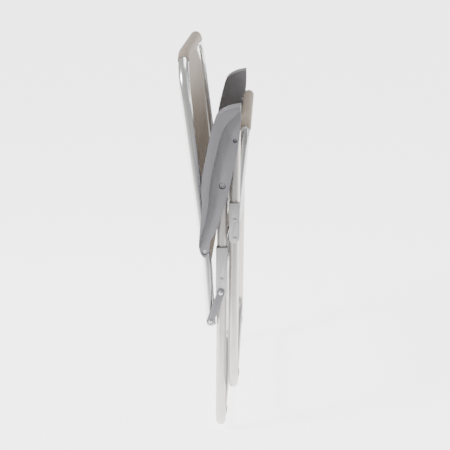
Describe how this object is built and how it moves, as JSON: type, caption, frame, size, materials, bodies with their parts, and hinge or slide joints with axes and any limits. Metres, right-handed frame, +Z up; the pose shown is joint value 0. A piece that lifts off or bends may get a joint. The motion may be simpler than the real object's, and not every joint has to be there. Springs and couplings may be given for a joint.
{
  "type": "folding chair",
  "caption": "Folding armchair, folded flat and upright: bent tube legs and frames, stretched woven slings, and moulded armrests that turn as it opens.",
  "frame": {"origin": "centre of the bounding box at the height of the rear floor bar's glides, the chair folded flat and upright", "axes": "+X is the chair's front, +Y its left side, +Z up"},
  "size_m": [0.1768, 0.566, 0.9993],
  "materials": {
    "polished_tube": "bright polished tube, lightly streaked",
    "satin_tube": "satin drawn tube",
    "leg_bracket": "dull grey pressed saddle",
    "armrest_plastic": "mid grey moulded plastic, fine grain",
    "link_plastic": "mid grey coated link",
    "plug_plastic": "grey moulded plug",
    "pin_steel": "plated rivet",
    "sling_fabric": "taupe coated-yarn weave",
    "glide_rubber": "pale grey soft glide"
  },
  "bodies": {
    "rear_legs": {"rear_leg_frame": "satin_tube", "rear_leg_bracket_right": "leg_bracket", "rear_leg_bracket_left": "leg_bracket", "seat_pivot_pin_right": "pin_steel", "seat_pivot_pin_left": "pin_steel", "seat_pivot_spacer_right": "plug_plastic", "seat_pivot_spacer_left": "plug_plastic", "back_link_upper_rivet_right": "pin_steel", "back_link_upper_rivet_left": "pin_steel", "rear_leg_glide_right": "glide_rubber", "rear_leg_glide_left": "glide_rubber"},
    "armrests": {"armrest_right": "armrest_plastic", "armrest_left": "armrest_plastic", "armrest_back_pin_right": "pin_steel", "armrest_back_pin_left": "pin_steel", "armrest_rear_leg_pin_right": "pin_steel", "armrest_rear_leg_pin_left": "pin_steel", "armrest_front_leg_pin_right": "pin_steel", "armrest_front_leg_pin_left": "pin_steel"},
    "front_legs": {"front_leg_frame": "satin_tube", "front_leg_bracket_right": "leg_bracket", "front_leg_bracket_left": "leg_bracket", "front_bracket_rivet_right": "pin_steel", "front_bracket_rivet_left": "pin_steel", "seat_stay_lower_rivet_right": "pin_steel", "seat_stay_lower_rivet_left": "pin_steel", "front_leg_glide_right": "glide_rubber", "front_leg_glide_left": "glide_rubber"},
    "back": {"back_frame": "polished_tube", "back_lower_bar": "polished_tube", "back_sling": "sling_fabric", "back_tube_plug_right": "plug_plastic", "back_tube_plug_left": "plug_plastic"},
    "seat": {"seat_frame": "polished_tube", "seat_rear_bar": "polished_tube", "seat_sling": "sling_fabric", "seat_tube_plug_right": "plug_plastic", "seat_tube_plug_left": "plug_plastic"},
    "back_links": {"back_link_right": "link_plastic", "back_link_left": "link_plastic", "back_link_lower_rivet_right": "pin_steel", "back_link_lower_rivet_left": "pin_steel"},
    "seat_stays": {"seat_stay_right": "pin_steel", "seat_stay_left": "pin_steel", "seat_stay_upper_rivet_right": "pin_steel", "seat_stay_upper_rivet_left": "pin_steel"}
  },
  "joints": [
    {"name": "armrest_fold", "type": "hinge", "parent": "rear_legs", "child": "armrests", "pos_m": [0.022, 0, 0.69], "axis": [0, 1, 0], "range_deg": [0, 54.5]},
    {"name": "front_leg_fold", "type": "hinge", "parent": "armrests", "child": "front_legs", "pos_m": [0.052, 0, 0.8], "axis": [0, -1, 0], "range_deg": [0, 92.6]},
    {"name": "back_fold", "type": "hinge", "parent": "armrests", "child": "back", "pos_m": [-0.0216, 0, 0.521], "axis": [0, -1, 0], "range_deg": [0, 82]},
    {"name": "seat_fold", "type": "hinge", "parent": "rear_legs", "child": "seat", "pos_m": [0.019, 0, 0.448], "axis": [0, 1, 0], "range_deg": [0, 53.6]},
    {"name": "back_link_fold", "type": "hinge", "parent": "rear_legs", "child": "back_links", "pos_m": [0.0175, 0, 0.412], "axis": [0, 1, 0], "range_deg": [0, 113.3]},
    {"name": "seat_stay_fold", "type": "hinge", "parent": "front_legs", "child": "seat_stays", "pos_m": [0.051, 0, 0.556], "axis": [0, -1, 0], "range_deg": [0, 60.5]}
  ],
  "couplings": [
    {"joint": "front_leg_fold", "follows": "armrest_fold", "ratio": 1.6972},
    {"joint": "back_fold", "follows": "armrest_fold", "ratio": 1.5028},
    {"joint": "seat_fold", "follows": "armrest_fold", "ratio": 0.9817},
    {"joint": "back_link_fold", "follows": "armrest_fold", "ratio": 2.0771},
    {"joint": "seat_stay_fold", "follows": "armrest_fold", "ratio": 1.1083}
  ]
}
